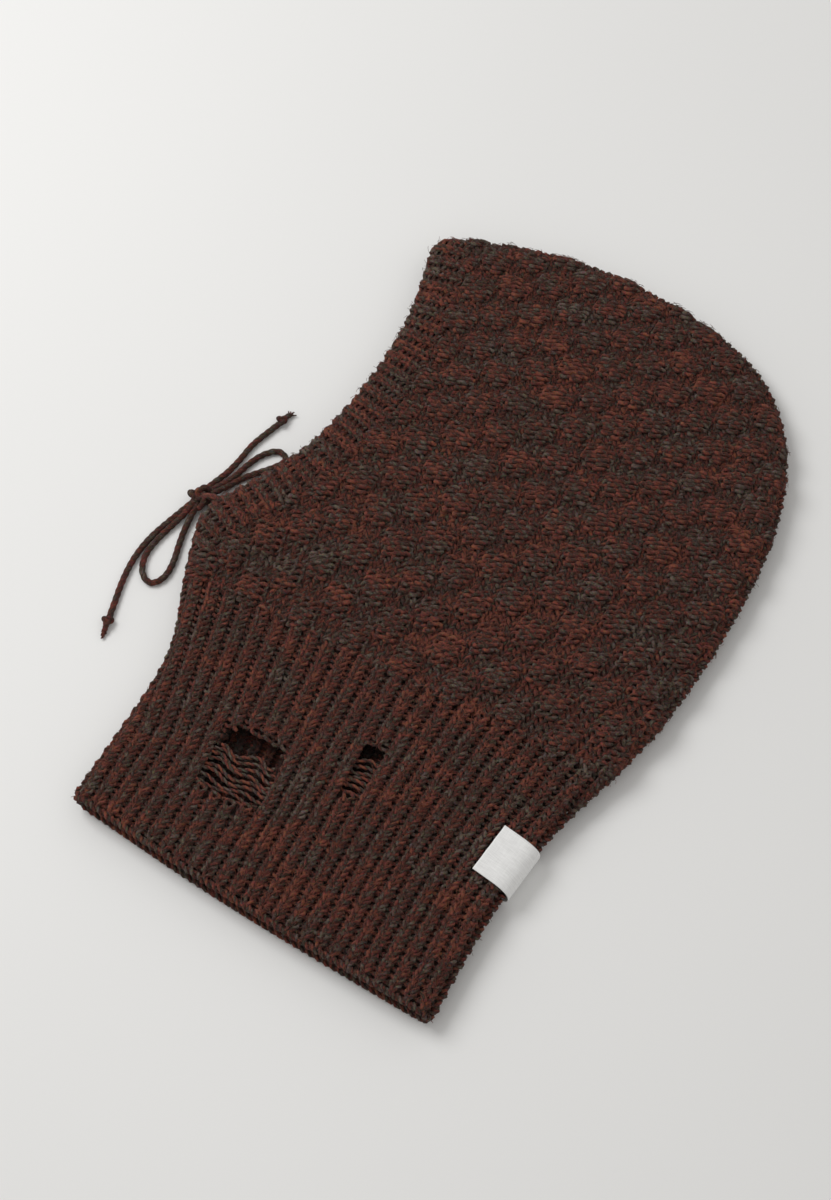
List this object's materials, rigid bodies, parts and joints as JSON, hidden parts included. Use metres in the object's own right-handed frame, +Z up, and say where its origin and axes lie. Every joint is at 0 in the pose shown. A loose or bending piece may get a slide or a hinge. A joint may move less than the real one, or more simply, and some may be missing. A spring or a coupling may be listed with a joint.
{
  "type": "balaclava",
  "caption": "Knitted hood balaclava lying on its side, with a ribbed neck, a drawcord tied in a bow at the chin, worn ladder holes and a blank woven label.",
  "frame": {"origin": "middle of the resting footprint, on the surface that the folded hood lies on", "axes": "+Z up through both halves, +Y from the neck hem to the crown, the face opening looks towards -X"},
  "size_m": [0.3123, 0.4495, 0.019],
  "materials": {
    "basketweave_knit": "fuzzy wool in a rust and charcoal melange",
    "rib_knit": "fuzzy wool in a rust and charcoal melange",
    "casing_knit": "fuzzy wool in a rust and charcoal melange",
    "seam_yarn": "linked chain stitches",
    "loose_yarn": "loose plied wool",
    "drawcord_yarn": "round braided wool cord",
    "label_satin": "white woven satin, blank"
  },
  "bodies": {
    "hood": {"hood_panel_left": "basketweave_knit", "hood_panel_right": "basketweave_knit", "crown_seam": "seam_yarn", "nape_seam": "seam_yarn", "throat_seam": "seam_yarn", "neck_rib_left": "rib_knit", "neck_rib_right": "rib_knit", "hem_bind_off_left": "rib_knit", "hem_bind_off_right": "rib_knit", "face_casing_left": "casing_knit", "face_casing_right": "casing_knit", "casing_linking_left": "casing_knit", "casing_linking_right": "casing_knit", "drawcord_in_casing": "drawcord_yarn", "ladder_yarns_large": "loose_yarn", "ladder_yarns_small": "loose_yarn", "label": "label_satin"},
    "drawcord": {"bow_knot": "drawcord_yarn", "bow_loop_upper": "drawcord_yarn", "bow_loop_lower": "drawcord_yarn", "cord_tail_upper": "drawcord_yarn", "cord_tail_lower": "drawcord_yarn", "tail_knot_upper": "drawcord_yarn", "tail_knot_lower": "drawcord_yarn", "cord_leg_left": "drawcord_yarn", "cord_leg_right": "drawcord_yarn"}
  },
  "joints": [
    {"name": "drawcord_pull", "type": "slide", "parent": "hood", "child": "drawcord", "axis": [-1, 0, 0], "range_m": [0, 0.015]}
  ]
}
